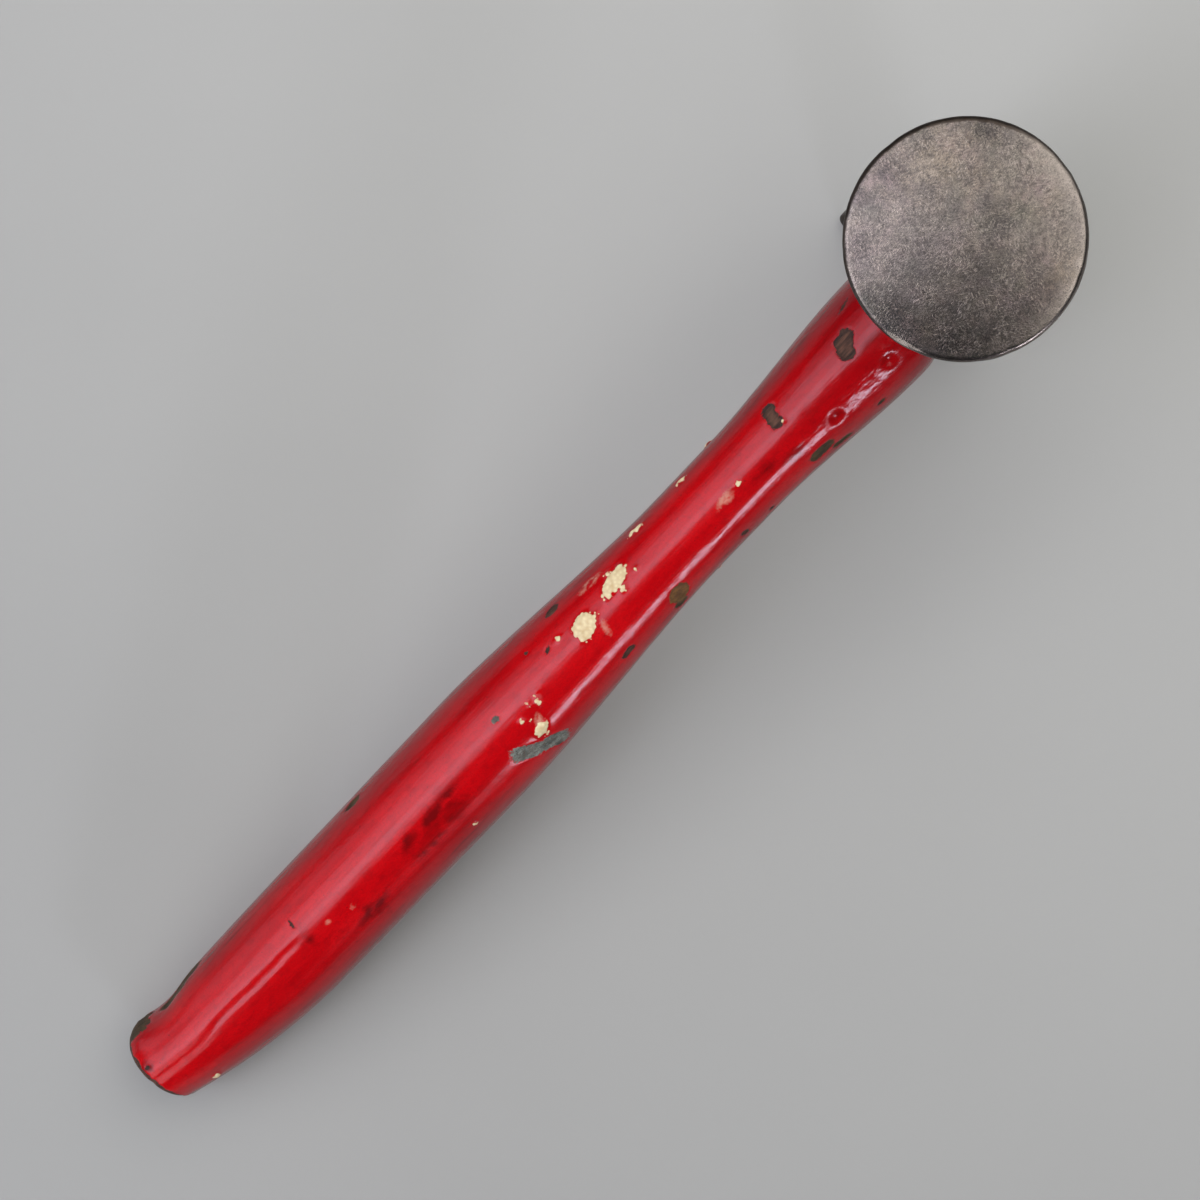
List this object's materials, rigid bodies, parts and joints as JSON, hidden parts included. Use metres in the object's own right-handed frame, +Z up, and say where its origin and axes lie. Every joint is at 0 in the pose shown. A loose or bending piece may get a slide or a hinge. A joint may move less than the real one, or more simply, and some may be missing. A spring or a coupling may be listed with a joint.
{
  "type": "shoemaker's hammer",
  "caption": "Hand hammer for shoe and leather work: broad domed round face on a flared neck, fan-shaped curved cross peen, and a waisted round wooden handle in worn red paint.",
  "frame": {"origin": "on the bench under the middle of the hammer's bounding box, with the hammer standing on its peen and on the edge of its butt, face up", "axes": "+X along the bench from the head towards the butt, +Z up, +Y across the hammer"},
  "size_m": [0.2455, 0.04, 0.1186],
  "materials": {
    "head_steel": "forged steel, worn grey-brown, with a polished and scratched face",
    "painted_wood": "thick gloss red paint, chipped down to dark wood and specked with cream paint",
    "wedge_wood": "bare hardwood, dark with age",
    "wedge_steel": "plain steel, dulled by rust"
  },
  "bodies": {
    "root": {"hammer_head": "head_steel", "handle": "painted_wood", "wooden_wedge": "wedge_wood", "steel_wedge_face_side": "wedge_steel", "steel_wedge_peen_side": "wedge_steel"}
  },
  "joints": []
}
